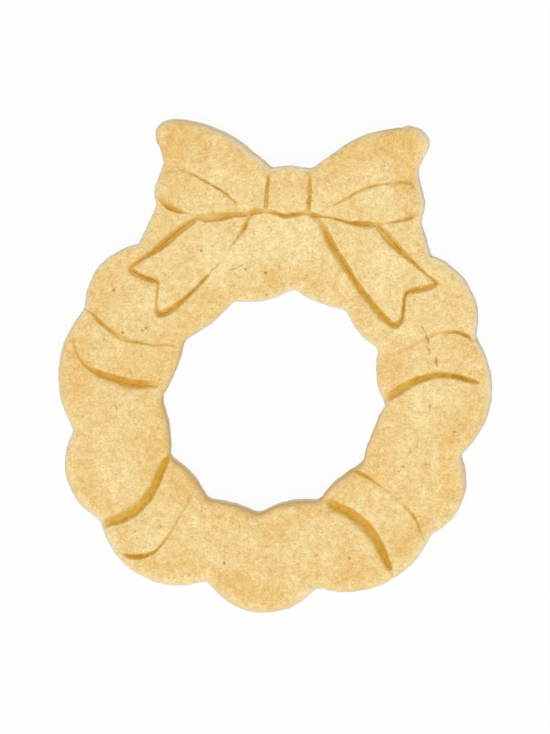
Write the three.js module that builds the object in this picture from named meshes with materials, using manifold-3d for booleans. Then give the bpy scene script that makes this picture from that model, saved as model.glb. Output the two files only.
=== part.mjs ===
// A wreath-shaped shortbread biscuit with a ribbon bow, as cut and pressed from rolled dough.
// A flat sheet of dough, scalloped outside and round the hole, carries a raised layer. Pressed
// lines run through that layer down to the sheet, and leave the bow, its tails, the four ribbon
// wraps and the stretches of wreath between them standing as separate pieces.
// Millimetres and degrees. X runs to the right, Y towards the bow, Z up from the underside.
import * as THREE from "three";
import { mergeVertices } from "three/addons/utils/BufferGeometryUtils.js";
import Module from "manifold-3d";

const wasm = await Module();
wasm.setup();

// Driving dimensions
const SHEET_THICKNESS = 4.0; // rolled dough that carries the raised layer
const RELIEF_HEIGHT = 1.8; // how far the wreath and the ribbon stand above the sheet
const SHOULDER = 0.9; // radius that rounds the raised layer over at the rim and the hole
const WREATH_RADIUS = 35.3; // rim of the wreath at an average scallop
const HOLE_RADIUS = 17.2; // hole at an average scallop
const NOTCH_BLEND = 0.9; // length that the rounding of a notch takes from the scallops beside it
const BOW_OFFSET = 2.5; // knot's centre to the right of the wreath's centre
const BOW_SINK = 0.9; // knot's centre below the rim's radius
const FINE_LINE = 0.7; // width of a fine pressed line at the surface
const BROAD_LINE = 1.3; // width of a broad pressed line at the surface
const LINE_FLOOR = 0.4; // width of every pressed line at the sheet
const OVERRUN = 3.0; // how far a pressed line runs past the edge it crosses
const CUT_MARGIN = 0.5; // how far a pressed line's trough stands past the layer's two faces
const CURVE_SEGMENTS = 4; // fineness of every curve

// Rim, anticlockwise from the bow's left foot to its right foot.
// A notch is its angle and its depth inside WREATH_RADIUS; a crest is its rise past that radius.
const RIM_NOTCHES = [
  [131, 1.9], [154.5, 1.4], [188.5, 2.6], [214.5, 1.1], [249.5, 4.2],
  [283, 4.4], [320, 2.1], [344, 4.2], [377.5, 1.3], [403, 0.8],
];
const RIM_CRESTS = [0.3, 0, 0.7, 0.6, -0.8, -0.8, -0.8, -0.2, 1.2];

// Hole, anticlockwise. A notch lies outside HOLE_RADIUS, and a crest stands into the hole from it.
const HOLE_NOTCHES = [
  [80, 1.6], [111.5, 0.5], [146, 0.5], [179, 1.2], [208.5, 2.1], [235.5, 2.3],
  [262, 1.5], [294, 0.7], [324.5, 0.3], [359, 1.0], [387.5, 2.0], [412.5, 1.9],
];
const HOLE_CRESTS = [0.6, 0.9, 0.5, -0.4, -0.9, -0.9, 0.5, 0.8, 0.6, 0.1, -0.7, -0.5];

// Bow outline from foot to foot, measured from the knot's centre, clear of the feet themselves.
const BOW_RIGHT = [
  [21.8, -8], [21.2, -5.1], [21.7, -2.2], [20.7, 2.5], [21.4, 5], [22.5, 7.8],
  [20.6, 9.8], [16.2, 9.7], [11.9, 8.6], [8, 6.4], [4.5, 3.8],
];
const KNOT_TOP = [[3.2, 3.2], [0, 3.5], [-3.1, 3.3]];
const BOW_LEFT = [
  [-5.2, 5.1], [-8.7, 7.9], [-12.7, 10], [-17, 11], [-20.2, 10.9], [-21.6, 9],
  [-20.6, 6.1], [-20.4, 4], [-21.7, -0.4], [-21.5, -2.8], [-22.9, -6],
];

// Pressed lines of the bow, measured from the knot's centre.
const BOW_UNDERSIDE = [
  [-20.8, -1.6], [-18.4, -3.4], [-15.1, -4.5], [-9.5, -4.4], [-4.3, -3.3], [-2.2, -3.5], [-0.2, -4.1],
  [1.9, -3.7], [3.6, -3.6], [8.4, -4.5], [14, -5], [18.1, -4.7], [20.5, -3.7],
];
const KNOT_LEFT = [[-3.2, 3], [-3.7, -3.3]];
const KNOT_RIGHT = [[3.7, 3], [3.4, -3.5]];
const LEFT_FOLD = [[-20, 3.2], [-16.8, 3], [-11.9, 0.2], [-8.5, -2.1]];
const RIGHT_FOLD = [[20.4, 1.3], [18.1, 1.8], [13.2, 0.5], [7.5, -2.2]];

// Tails: where their long sides leave the bow, measured from the knot's centre, then their course over the
// ring, each point an angle and a share of the way from the rim to the hole. The notch is cut into the end.
const LEFT_TAIL = {
  outerStart: [-15.4, -4.5],
  outerCourse: [[137, 0.215]],
  notch: [133.7, 0.445],
  innerStart: [-6, -3.8],
  innerCourse: [[104.7, 0.49], [117.2, 0.68], [127.6, 0.73], [142.7, 0.665]],
};
const RIGHT_TAIL = {
  outerStart: [14, -5],
  outerCourse: [[36.7, 0.118]],
  notch: [40.5, 0.395],
  innerStart: [4.2, -3.7],
  innerCourse: [[62.4, 0.555], [43.8, 0.688], [32.3, 0.637]],
};

// Ribbon wraps: the angles of each edge at the hole, one third and two thirds of the way out, and at the rim.
const WRAPS = {
  upper_left: { fine: [150.5, 156.8, 158.1, 154.2], broad: [172, 173.4, 170.7, 164] },
  lower_left: { fine: [228.5, 232.8, 232, 225.5], broad: [207.5, 215.2, 218.2, 216.5] },
  lower_right: { fine: [319.5, 321.9, 321.4, 318], broad: [298.5, 305.6, 306.8, 304.3] },
  upper_right: { fine: [22.5, 23.5, 21.8, 17.5], broad: [0.5, 7.1, 8.6, 5] },
};

const SHEET_COLOUR = 0xd9b878;
const WREATH_COLOUR = 0xf0d493;
const WRAP_COLOUR = 0xecca86;
const BOW_COLOUR = 0xe9c581;

const TOP = SHEET_THICKNESS + RELIEF_HEIGHT;
const RING_MIDDLE = (WREATH_RADIUS + HOLE_RADIUS) / 2;
const CORNER_RUN = LINE_FLOOR / 2; // how far a line runs past the corner where it meets another
const knot = new THREE.Vector2(BOW_OFFSET, WREATH_RADIUS - BOW_SINK);

const fromKnot = ([x, y]) => new THREE.Vector2(x, y).add(knot);

function polar(degrees, radius) {
  const angle = THREE.MathUtils.degToRad(degrees);
  return new THREE.Vector2(radius * Math.cos(angle), radius * Math.sin(angle));
}

// A tail's two long sides and its notch as points of the biscuit's face.
function tailOutline({ outerStart, outerCourse, notch, innerStart, innerCourse }) {
  const overRing = ([angle, share]) => polar(angle, THREE.MathUtils.lerp(WREATH_RADIUS, HOLE_RADIUS, share));
  return {
    outer: [fromKnot(outerStart), ...outerCourse.map(overRing)],
    notch: overRing(notch),
    inner: [fromKnot(innerStart), ...innerCourse.map(overRing)],
  };
}

// The arc from a to c by way of b, shortened by a length at each end.
function arcThrough(a, b, c, startTrim, endTrim) {
  const d = 2 * (a.x * (b.y - c.y) + b.x * (c.y - a.y) + c.x * (a.y - b.y));
  const centre = new THREE.Vector2(
    (a.lengthSq() * (b.y - c.y) + b.lengthSq() * (c.y - a.y) + c.lengthSq() * (a.y - b.y)) / d,
    (a.lengthSq() * (c.x - b.x) + b.lengthSq() * (a.x - c.x) + c.lengthSq() * (b.x - a.x)) / d,
  );
  const radius = centre.distanceTo(a);
  const turn = Math.sign(d);
  const start = a.clone().sub(centre).angle() + (turn * startTrim) / radius;
  const end = c.clone().sub(centre).angle() - (turn * endTrim) / radius;
  return new THREE.ArcCurve(centre.x, centre.y, radius, start, end, turn < 0);
}

// Arcs from notch to notch by way of the crests between them. Where two arcs meet at a notch,
// the corner is rounded by a curve that leaves each arc NOTCH_BLEND before the notch.
function scallops(notches, crests, closed) {
  const arcs = crests.map((crest, i) => {
    const next = notches[(i + 1) % notches.length];
    const startTrim = closed || i > 0 ? NOTCH_BLEND : 0;
    const endTrim = closed || i < crests.length - 1 ? NOTCH_BLEND : 0;
    return arcThrough(notches[i], crest, next, startTrim, endTrim);
  });
  return arcs.flatMap((arc, i) => {
    const following = arcs[i + 1] ?? (closed ? arcs[0] : null);
    if (!following) return [arc];
    const corner = notches[(i + 1) % notches.length];
    return [arc, new THREE.QuadraticBezierCurve(arc.getPoint(1), corner, following.getPoint(0))];
  });
}

// The angle halfway from one notch of a ring to the next, where its crest stands.
function crestAngle(notches, i) {
  const next = i + 1 < notches.length ? notches[i + 1][0] : notches[0][0] + 360;
  return (notches[i][0] + next) / 2;
}

function biscuitOutline() {
  const rimNotches = RIM_NOTCHES.map(([angle, depth]) => polar(angle, WREATH_RADIUS - depth));
  const rimCrests = RIM_CRESTS.map((rise, i) => polar(crestAngle(RIM_NOTCHES, i), WREATH_RADIUS + rise));
  const leftFoot = rimNotches[0];
  const rightFoot = rimNotches.at(-1);
  const rightWing = [rightFoot, ...[...BOW_RIGHT, KNOT_TOP[0]].map(fromKnot)];
  const knotTop = KNOT_TOP.map(fromKnot);
  const leftWing = [...[KNOT_TOP.at(-1), ...BOW_LEFT].map(fromKnot), leftFoot];

  const outline = new THREE.Shape();
  outline.curves = [
    ...scallops(rimNotches, rimCrests, false),
    new THREE.SplineCurve(rightWing),
    new THREE.SplineCurve(knotTop),
    new THREE.SplineCurve(leftWing),
  ];

  const holeNotches = HOLE_NOTCHES.map(([angle, depth]) => polar(angle, HOLE_RADIUS + depth));
  const holeCrests = HOLE_CRESTS.map((rise, i) => polar(crestAngle(HOLE_NOTCHES, i), HOLE_RADIUS - rise));
  const hole = new THREE.Path();
  hole.curves = scallops(holeNotches, holeCrests, true);
  outline.holes = [hole];
  return outline;
}

// A closed geometry as a solid that can be cut, and a solid as a geometry again.
function solidOf(geometry) {
  const bare = geometry.clone();
  bare.deleteAttribute("normal");
  bare.deleteAttribute("uv");
  const merged = mergeVertices(bare);
  return new wasm.Manifold(
    new wasm.Mesh({
      numProp: 3,
      vertProperties: merged.attributes.position.array,
      triVerts: new Uint32Array(merged.index.array),
    }),
  );
}

function geometryOf(solid) {
  const mesh = solid.getMesh();
  const geometry = new THREE.BufferGeometry();
  geometry.setAttribute("position", new THREE.BufferAttribute(mesh.vertProperties, 3));
  geometry.setIndex(new THREE.BufferAttribute(mesh.triVerts, 1));
  geometry.computeVertexNormals();
  return geometry;
}

// The raised layer before it is pressed: the biscuit's outline with a rounded upper edge, on the sheet.
function raisedLayer(outline) {
  const layer = new THREE.ExtrudeGeometry(outline, {
    depth: RELIEF_HEIGHT,
    bevelThickness: SHOULDER,
    bevelSize: SHOULDER,
    bevelOffset: -SHOULDER,
    bevelSegments: 2,
    curveSegments: CURVE_SEGMENTS,
  });
  layer.translate(0, 0, SHEET_THICKNESS - SHOULDER);
  layer.computeBoundingBox();
  const size = layer.boundingBox.getSize(new THREE.Vector3());
  const below = new THREE.BoxGeometry(2 * size.x, 2 * size.y, TOP);
  below.translate(0, 0, SHEET_THICKNESS - TOP / 2);
  return solidOf(layer).subtract(solidOf(below));
}

// A pressed line: a trough along a path, LINE_FLOOR wide at the sheet and width wide at the surface.
// It runs on past both faces of the layer, upwards in the same slope, so that it cuts clean through.
function pressedLine(points, width) {
  const slope = (width - LINE_FLOOR) / 2 / RELIEF_HEIGHT;
  const halfFloor = LINE_FLOOR / 2;
  const halfTop = width / 2 + slope * CUT_MARGIN;
  // Along a level path the section's first axis points down.
  const trough = new THREE.Shape([
    new THREE.Vector2(CUT_MARGIN, -halfFloor),
    new THREE.Vector2(CUT_MARGIN, halfFloor),
    new THREE.Vector2(0, halfFloor),
    new THREE.Vector2(-RELIEF_HEIGHT - CUT_MARGIN, halfTop),
    new THREE.Vector2(-RELIEF_HEIGHT - CUT_MARGIN, -halfTop),
    new THREE.Vector2(0, -halfFloor),
  ]);
  const path = new THREE.CatmullRomCurve3(points.map((p) => new THREE.Vector3(p.x, p.y, SHEET_THICKNESS)));
  const steps = points.length > 2 ? CURVE_SEGMENTS * (points.length - 1) : 1;
  return solidOf(new THREE.ExtrudeGeometry(trough, { extrudePath: path, steps }));
}

// The same points with both ends moved on along the line, each by its own length.
function lengthened(points, atStart, atEnd) {
  const onward = (from, to, by) => to.clone().sub(from).setLength(by).add(to);
  const first = onward(points[1], points[0], atStart);
  const last = onward(points.at(-2), points.at(-1), atEnd);
  return [first, ...points.slice(1, -1), last];
}

function bowLines() {
  const run = (points) => points.map(fromKnot);
  return [
    pressedLine(lengthened(run(BOW_UNDERSIDE), OVERRUN, OVERRUN), BROAD_LINE),
    pressedLine(lengthened(run(KNOT_LEFT), OVERRUN, CORNER_RUN), FINE_LINE),
    pressedLine(lengthened(run(KNOT_RIGHT), OVERRUN, CORNER_RUN), FINE_LINE),
    pressedLine(run(LEFT_FOLD), FINE_LINE),
    pressedLine(run(RIGHT_FOLD), FINE_LINE),
  ];
}

function tailLines({ outer, notch, inner }, outerWidth, innerWidth) {
  const side = (points, width) => pressedLine(lengthened(points, CORNER_RUN, CORNER_RUN), width);
  return [
    side(outer, outerWidth),
    side([outer.at(-1), notch], FINE_LINE),
    side([notch, inner.at(-1)], FINE_LINE),
    side(inner, innerWidth),
  ];
}

function wrapLines({ fine, broad }) {
  const across = (angles, width) => {
    const radius = (i) => THREE.MathUtils.lerp(HOLE_RADIUS, WREATH_RADIUS, i / (angles.length - 1));
    const points = angles.map((angle, i) => polar(angle, radius(i)));
    return pressedLine(lengthened(points, OVERRUN, OVERRUN), width);
  };
  return [across(fine, FINE_LINE), across(broad, BROAD_LINE)];
}

// Each raised piece's name, a spot inside it by which it is known after pressing, and its colour.
function raisedPieces(leftTail, rightTail) {
  const halfway = (a, b) => a.clone().lerp(b, 0.5);
  const onRing = (from, to) => polar((from[1] + to[1]) / 2, RING_MIDDLE);
  const middleOf = (points) => fromKnot(points[Math.floor(points.length / 2)]);
  const loopSpot = (knotSide, wing) => halfway(fromKnot(knotSide[0]), middleOf(wing));
  const tailSpot = ({ outer, inner }) => halfway(outer[0], inner[2]);
  const wrapSpot = ({ fine, broad }) => onRing(fine, broad);
  const { upper_left, lower_left, lower_right, upper_right } = WRAPS;
  const fullTurn = upper_right.broad.map((angle) => angle + 360);
  return [
    ["bow_knot", knot, BOW_COLOUR],
    ["bow_left_loop", loopSpot(KNOT_LEFT, BOW_LEFT), BOW_COLOUR],
    ["bow_right_loop", loopSpot(KNOT_RIGHT, BOW_RIGHT), BOW_COLOUR],
    ["bow_left_tail", tailSpot(leftTail), BOW_COLOUR],
    ["bow_right_tail", tailSpot(rightTail), BOW_COLOUR],
    ["upper_left_wrap", wrapSpot(upper_left), WRAP_COLOUR],
    ["lower_left_wrap", wrapSpot(lower_left), WRAP_COLOUR],
    ["lower_right_wrap", wrapSpot(lower_right), WRAP_COLOUR],
    ["upper_right_wrap", wrapSpot(upper_right), WRAP_COLOUR],
    ["wreath_left", onRing(upper_left.broad, lower_left.broad), WREATH_COLOUR],
    ["wreath_bottom", onRing(lower_left.fine, lower_right.broad), WREATH_COLOUR],
    ["wreath_right", onRing(lower_right.fine, fullTurn), WREATH_COLOUR],
    ["wreath_top", halfway(leftTail.inner[2], rightTail.inner[1]), WREATH_COLOUR],
  ];
}

function holds(solid, spot) {
  const probe = new THREE.BoxGeometry(LINE_FLOOR, LINE_FLOOR, RELIEF_HEIGHT / 2);
  probe.translate(spot.x, spot.y, SHEET_THICKNESS + RELIEF_HEIGHT / 2);
  return !solid.intersect(solidOf(probe)).isEmpty();
}

function doughMesh(name, geometry, colour) {
  const dough = new THREE.MeshStandardMaterial({ color: colour, roughness: 0.88, metalness: 0 });
  const mesh = new THREE.Mesh(geometry, dough);
  mesh.name = name;
  return mesh;
}

function biscuit() {
  const outline = biscuitOutline();
  const sheet = new THREE.ExtrudeGeometry(outline, {
    depth: SHEET_THICKNESS,
    bevelEnabled: false,
    curveSegments: CURVE_SEGMENTS,
  });
  const leftTail = tailOutline(LEFT_TAIL);
  const rightTail = tailOutline(RIGHT_TAIL);
  const lines = [
    ...bowLines(),
    ...tailLines(leftTail, BROAD_LINE, FINE_LINE),
    ...tailLines(rightTail, BROAD_LINE, BROAD_LINE),
    ...Object.values(WRAPS).flatMap(wrapLines),
  ];
  const pieces = lines.reduce((layer, line) => layer.subtract(line), raisedLayer(outline)).decompose();

  const group = new THREE.Group();
  group.add(doughMesh("dough_sheet", sheet, SHEET_COLOUR));
  for (const [name, spot, colour] of raisedPieces(leftTail, rightTail)) {
    const solid = pieces.find((piece) => holds(piece, spot));
    group.add(doughMesh(name, geometryOf(solid), colour));
  }

  // The origin is the middle of the underside.
  sheet.computeBoundingBox();
  const middle = sheet.boundingBox.getCenter(new THREE.Vector3());
  group.position.set(-middle.x, -middle.y, 0);
  return group;
}

export default biscuit();
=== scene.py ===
import math

import bpy
import numpy as np
from mathutils import Matrix, Vector


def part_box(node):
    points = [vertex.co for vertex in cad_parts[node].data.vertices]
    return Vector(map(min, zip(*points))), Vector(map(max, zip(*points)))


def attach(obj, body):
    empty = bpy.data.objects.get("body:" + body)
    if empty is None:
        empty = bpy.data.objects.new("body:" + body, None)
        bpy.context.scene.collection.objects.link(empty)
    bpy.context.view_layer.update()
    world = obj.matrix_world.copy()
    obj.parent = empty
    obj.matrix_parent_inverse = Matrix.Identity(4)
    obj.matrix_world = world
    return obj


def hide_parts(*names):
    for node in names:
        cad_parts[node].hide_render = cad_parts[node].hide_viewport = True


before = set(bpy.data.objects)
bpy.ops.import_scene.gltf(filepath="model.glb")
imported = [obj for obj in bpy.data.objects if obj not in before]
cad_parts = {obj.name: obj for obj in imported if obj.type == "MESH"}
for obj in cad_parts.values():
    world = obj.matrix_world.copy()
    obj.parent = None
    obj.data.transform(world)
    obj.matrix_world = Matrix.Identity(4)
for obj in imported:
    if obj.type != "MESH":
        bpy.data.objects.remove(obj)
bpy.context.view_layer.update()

# The looks of a wreath-shaped shortbread biscuit with a ribbon bow. Lengths below are millimetres,
# measured from the wreath's centre unless a comment says otherwise, with Y towards the bow.
MM = 0.001
WREATH_CENTRE = np.array([-0.119, -5.548])  # in the part's frame
SHEET_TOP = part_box("dough_sheet")[1].z / MM
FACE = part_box("wreath_left")[1].z / MM

# Fineness of the surfaces
FACE_STEP, TOP_STEP = 0.11, 0.128  # spacing of points on the face, and on its part behind the tails
LOOP_STEP = 0.05  # spacing of points on the outlines
EDGE_SKIP, EDGE_CHUNK = 5, 24  # distances are measured from every fifth of them, 24 steps at a time
SPAN_STEPS = 6  # points on a pressed line between two of those written below
RIM_COLUMNS, HOLE_COLUMNS = 1500, 680  # points round the sheet's rim and round its hole
FOOT_ROWS, WALL_ROWS = 5, 16  # points up the sheet's rounded foot, and up the wall above it
WALL_SHARES = (0.3, 0.65)  # how far down a raised piece's wall has points
EDGE_PULL = 0.45  # how strongly a patch's points are drawn to its borders
RING_BY_ANGLE = 0.6  # how far points along the ring are spaced by angle and not by length
WIDE_FADE = 2.5  # power by which the sides of a wide stretch fade towards its middle
HOLD = 0.02  # strip that keeps a hidden corner from showing in the shading
TINY = 1e-9  # least value that is divided by
CORNER_DIGITS = 4  # decimals to which the solid's corners are compared

# Outlines of the cut
FOOT_LEVEL = 0.5  # corners of the sheet's solid below this height are its underside
STRAIGHT_DOWN, STRAIGHT_UP = -0.25, 0.25  # directions, in turns
HOLE_SIDE, RIM_SIDE = 21.0, 24.0  # nearer the centre an edge is the hole's, and farther out the rim's
BOW_MIDDLE = np.array([2.5, 34.0])
BOW_FOOT = 31.2  # height above which the outline belongs to the bow
WING_TIPS = {"left": (-19.2, 44.2), "right": (24.9, 43.2)}
SMOOTHING = 0.3  # width of the bell that softens the outlines
RIM_OUTSET, HOLE_OUTSET = 0.14, 0.05  # how far they lie outside those of the solid
NUDGE = np.array([0.06, -0.05])  # small shift of both
EDGE_REACH = 6.0  # farthest distance at which an edge is felt
ON_OUTLINE = 0.05  # distance within which a border counts as cut
FOOT_ROUND = 0.45  # radius of the sheet's lower edge
OVERHANG = 0.35  # how far the face stands out beyond the foot of the cut on the bow's side
UNDERCUT = 0.16  # how far the foot of the hole's lower left wall is drawn back
WING_SLOPE = (-9.5, 42.0, 6.5)  # x, y and radius of the stretch without overhang
KNOT_DOME, KNOT_DOME_OUT = (2.4, 38.2, 2.0), 0.25  # the same, and how far it stands out
WING_NUB, WING_NUB_OUT = (21.9, 44.9, 0.8), 0.45

# Bumps of the dough: how high, how large and the level at which the crumbs are read
SWELLS = ((0.09, 9.0, 0), (0.05, 3.5, 20))
GRAINS = ((0.03, 1.3, 40), (0.025, 0.6, 60), (0.016, 0.33, 80))
SHOULDER_DRIFT = ((0.3, 4.0, 11),)  # share by which the rounding of the edge wanders
CUT_CRUMBS = ((0.07, 2.4, 0), (0.045, 0.9, 0), (0.025, 0.4, 0))
WALL_LEVEL = 5  # how far above their own height the walls' crumbs are read
LINE_WAVER = ((0.07, 0.9, 3), (0.05, 0.4, 7))
LINE_PATCHES = ((0.14, 2.2, 31), (0.12, 0.7, 35))
LINE_RAGS = ((0.06, 0.7, 55), (0.07, 0.32, 57))
CREASE_STREAKS = ((1.0, 1.6, 45), (0.6, 0.6, 51))
CRUMB_CELLS, CRUMB_SEED = 64, 7

# Face
SHOULDER_REACH, SHOULDER_DROP = 1.35, 0.75  # width and depth of its rounding at the rim and the hole
EDGE_SAG, EDGE_SAG_REACH = 0.28, 2.0  # how far it sinks towards them
PUFF, PUFF_REACH = 0.1, 2.0  # how far the dough puffs up between pressed lines
PUFF_THIN = 1.2  # how much further away a narrow line counts
LEAST_LAYER = 0.06  # least height of the face above the sheet
ROUGH_FADE = 0.5  # depth below the face's edge at which crumbs stand out fully
FOOT_FADE = 0.4  # height above the underside at which they do, and where its toasting ends

# Toasting: 0 is plain dough, 1 is orange, and below 0 it is paler. It also carries painted shade at the
# hole's lower left edge and a painted highlight along the lower rim.
RIM_TOAST, RIM_TOAST_AT, RIM_TOAST_REACH = 0.4, 2.6, 1.3  # a band just inside the rounding of the edges
LOW_RIM_HIGHLIGHT, LOW_RIM_AT, LOW_RIM_REACH = 0.4, 1.1, 0.6  # painted highlight: a paler band along the lower rim, the side that faces the lamp
LOW_RIM_FROM = 20.0  # how far below the centre it is so in full
HOLE_TOAST_AND_SHADE, HOLE_TOAST_SHADE_REACH = 1.5, 1.0  # at the hole's edge, toasting together with painted shade, and how far in from it
HOLE_TOAST_EVEN, HOLE_SHADE_LOW, HOLE_SHADE_LEFT = 0.38, 0.45, 0.2  # all round, and more below and at the left, where it is also painted shade
HOLE_TOAST_SHADE_FROM = 3.4  # height on the wall from which it shows
UNDER_TOAST = 0.55  # on the underside
CUT_GAIN, CUT_POWER = 5.5, 1.75  # how soon the face's rounding shows the inside of the dough
CUT_FROM = 0.8  # height on the wall from which it shows in full

# Pressed lines
LINE_REACH = 3.2  # farthest distance at which a pressed line is felt
LINE_DEPTH = 1.45  # depth that broad pressed lines come near to
DEPTH_WIDTH = 1.0  # width at which a line has come some two thirds of the way to it
DEPTH_LEAST, DEPTH_BY_DARK = 0.05, 1.2  # share of the depth without colour, and how colour adds to it
THINNEST = 0.14  # width below which a line's walls don't draw closer
LEAST_WIDTH = 0.04  # least width and darkness along a line
FULL_WIDTH = 0.5  # width from which a line wavers, frays and creases in full
WAVER_LEAST, RAGS_LEAST = 0.2, 0.3  # shares of that in the finest lines
SLOW_LEAN = 1.15  # lean from which a wall counts as leaning back
STEEP_SHARE = 0.9  # share of the larger lean below which the other wall is the steep one
SLOW_NARROW = 0.88  # how much closer to the line a wall that leans back has its middle
STEEP_POWER, SLOW_POWER, EVEN_POWER = 6.0, 2.4, 2.3  # sharpness of the three kinds of wall
WIDE_POWER, WIDE_FROM, WIDE_SPAN = 1.2, 0.4, 0.5  # more of it in an even line that is wide
# A pressed line's colour is partly the browner tint of the pressed dough and partly painted shade of the
# groove
TINT_SHADE_SHORT = 0.06  # how far a line's colour stops short of the top of its steep wall
TINT_SHADE_LEAST = 0.6  # least share of that wall that it covers
SLOW_REACH = 1.25  # how much further it reaches up a wall that leans back
TINT_SHADE_STEEP, TINT_SHADE_SLOW, TINT_SHADE_EVEN = 7.0, 2.1, 1.7  # sharpness of its border on the three kinds
ONE_SIDED = 0.1  # difference of the two leans from which a line is one-sided
EVEN_PALE = 0.88  # share of the colour that the other lines have
STEEP_SHADE = 0.12  # painted shade: how much darker a leaning line gets towards its steep wall, by its widths
SHADE_SPAN = 0.7  # widths over which it does
CREASE_WIDTH, CREASE_SHADE = 0.1, 0.85  # half width and darkness of the painted shade in the crease along a line's floor
CREASE_LESS = 0.4  # how much fainter it is in a one-sided line
CREASE_AT = 0.1  # how far towards a steep wall it lies, in widths of the line
CREASE_SHARE, CREASE_BREAKS = 0.55, 0.9  # how much of it shows, and how that comes and goes
HAIRLINE_WIDTH, HAIRLINE_FADE = 0.42, 0.16  # width below which a line turns into a hairline, and how soon
HAIRLINE_DARK = 0.25
BROKEN_DARK, BROKEN_MOST = 0.19, 0.9  # painted shade in cracks and pores: the depth at which one is dark, and how dark at most
CRACK_REACH, CRACK_THINNEST = 1.0, 0.1  # farthest distance at which a crack is felt; its least width
CRACK_DEPTH, CRACK_SPREAD = 0.8, 0.6  # depth and half width, in widths of the crack

# Tails, which lie in a recess of the wreath behind them
RECESS_SLOPE, RECESS_FLOOR = 2.4, 0.04  # its sides' slope and its floor's height above the sheet
DISH_SLOPE, DISH_FLOOR = 2.0, 0.07  # the same of a tail's underside

# Colours and mottling of the dough. A cloud is the size of its blotches, its detail, the span of the
# noise that is read and the span it is carried to; the other spans are the same without a size.
PALE_CREAM = (0.99, 0.805, 0.42, 1)
OLIVE_TAN = (0.765, 0.515, 0.175, 1)
OVEN_ORANGE = (0.71, 0.41, 0.11, 1)
OVEN_AMBER = (0.89, 0.565, 0.195, 1)
# Colours of the pressed lines, each a tint of the pressed dough with painted shade of the groove; the
# deeper one shows at the creases
PRESSED_GOLD_AND_SHADE = (0.57, 0.25, 0.002, 1)
PRESSED_TAN_AND_SHADE = (0.71, 0.435, 0.06, 1)
# painted shade of the cracks and pores, and of the finest pressed lines
CRACK_SHADE_BROWN = (0.38, 0.2, 0.022, 1)
SPECK_BROWN = (0.46, 0.27, 0.08, 1)
CUT_BEIGE = (0.87, 0.775, 0.565, 1)
CUT_BROWN = (0.74, 0.52, 0.22, 1)
FINE_CLOUD = (0.34, 1, 0.25, 0.75, -0.25, 0.25)
GRAIN_CLOUD = (0.95, 1, 0.25, 0.62, -0.33, 0.11)
BLOTCH_CLOUD = (2.6, 2, 0.25, 0.64, -0.2, 0.08)
WARM_BLOTCH_CLOUD = (4.2, 3, 0.25, 0.75, -0.48, 0.48)
WARM_GRAIN_CLOUD = (1.5, 2, 0.25, 0.75, -0.56, 0.56)
SPECK_CLOUD = (0.36, 0, 0.68, 0.78, 0.0, 1.0)
SPECK_CLUSTER_CLOUD = (3.0, 1, 0.45, 0.65, 0.0, 0.5)
LINE_CLOUD = (0.8, 2, 0.25, 0.75, 0.74, 1.26)
CRUST_CLOUD = (1.2, 3)
PALE_SPAN = (-0.7, 0.0, 0.11, 0.0)
WARM_SPAN = (-0.45, 1.2, 0.0, 0.8)
CRUST_SPAN = (0.35, 0.75, 0.0, 0.5)
GOLD_SPAN = (0.12, 0.85, 0.0, 0.95)
GOLD_EDGE_SPAN = (0.0, 0.25, 0.0, 1.0)
DEEP_GOLD_SPAN = (0.8, 1.7, 0.0, 1.0)
# brightness of the sandy grains: partly their own tone and partly painted shade of the crumbs
SAND_SHADE_SPAN = (0.1, 0.9, 0.95, 1.05)
PLAIN_TONE = 0.68  # share of pale grains in plain dough
FINE_IN_CRUST, FINE_IN_GOLD, FINE_IN_SAND_SHADE = 0.4, 0.75, 0.25  # how far the fine grains show in each
CUT_SHARE = 0.85  # how far the colour of the cut covers the others
SAND_SIZE = 0.23  # size of the sandy grains
RELIEF_SIZES, RELIEF_STRENGTH, RELIEF_HEIGHT = (0.24, 0.5, 1.1), 0.6, 0.18
CLOUD_ROUGHNESS, DOUGH_ROUGHNESS, DOUGH_SHEEN = 0.55, 0.88, 0.06
MIX_INPUTS, MIX_OUTPUT = (0, 6, 7), 2  # a mixing node's sockets for the share and for colours
TOASTING = {"sheet_dough": 0.0, "wreath_dough": 0.0, "wrap_dough": 0.02, "bow_dough": 0.03}

# Floor, light and camera, in metres
FLOOR_SIZE, FLOOR_LEVEL = 1.6, -0.02 * MM
WHITE, FLOOR_GREY = (1, 1, 1, 1), (0.86, 0.86, 0.86, 1)
FLOOR_OWN_WHITE = 0.93  # share of the floor's own white in what the camera sees of it
SKY_STRENGTH = 0.62  # as a light; the camera sees it white
LAMP_PLACE, LAMP_SIZE, LAMP_ENERGY = (0.02, -0.7, 2.45), 1.6, 30.0
LEAN_BACK, LEAN_RIGHT = math.radians(6.4), math.radians(3.4)  # the camera's, to the bow's side and right
VIEW_DISTANCE, NEAREST_SEEN = 1.6, 0.01
VIEW_AIM = (0.17 * MM, 0.25 * MM, FACE * MM)
PIXELS_PER_MM, IMAGE_HEIGHT = 6.166, 734
SENSOR = 36.0
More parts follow.
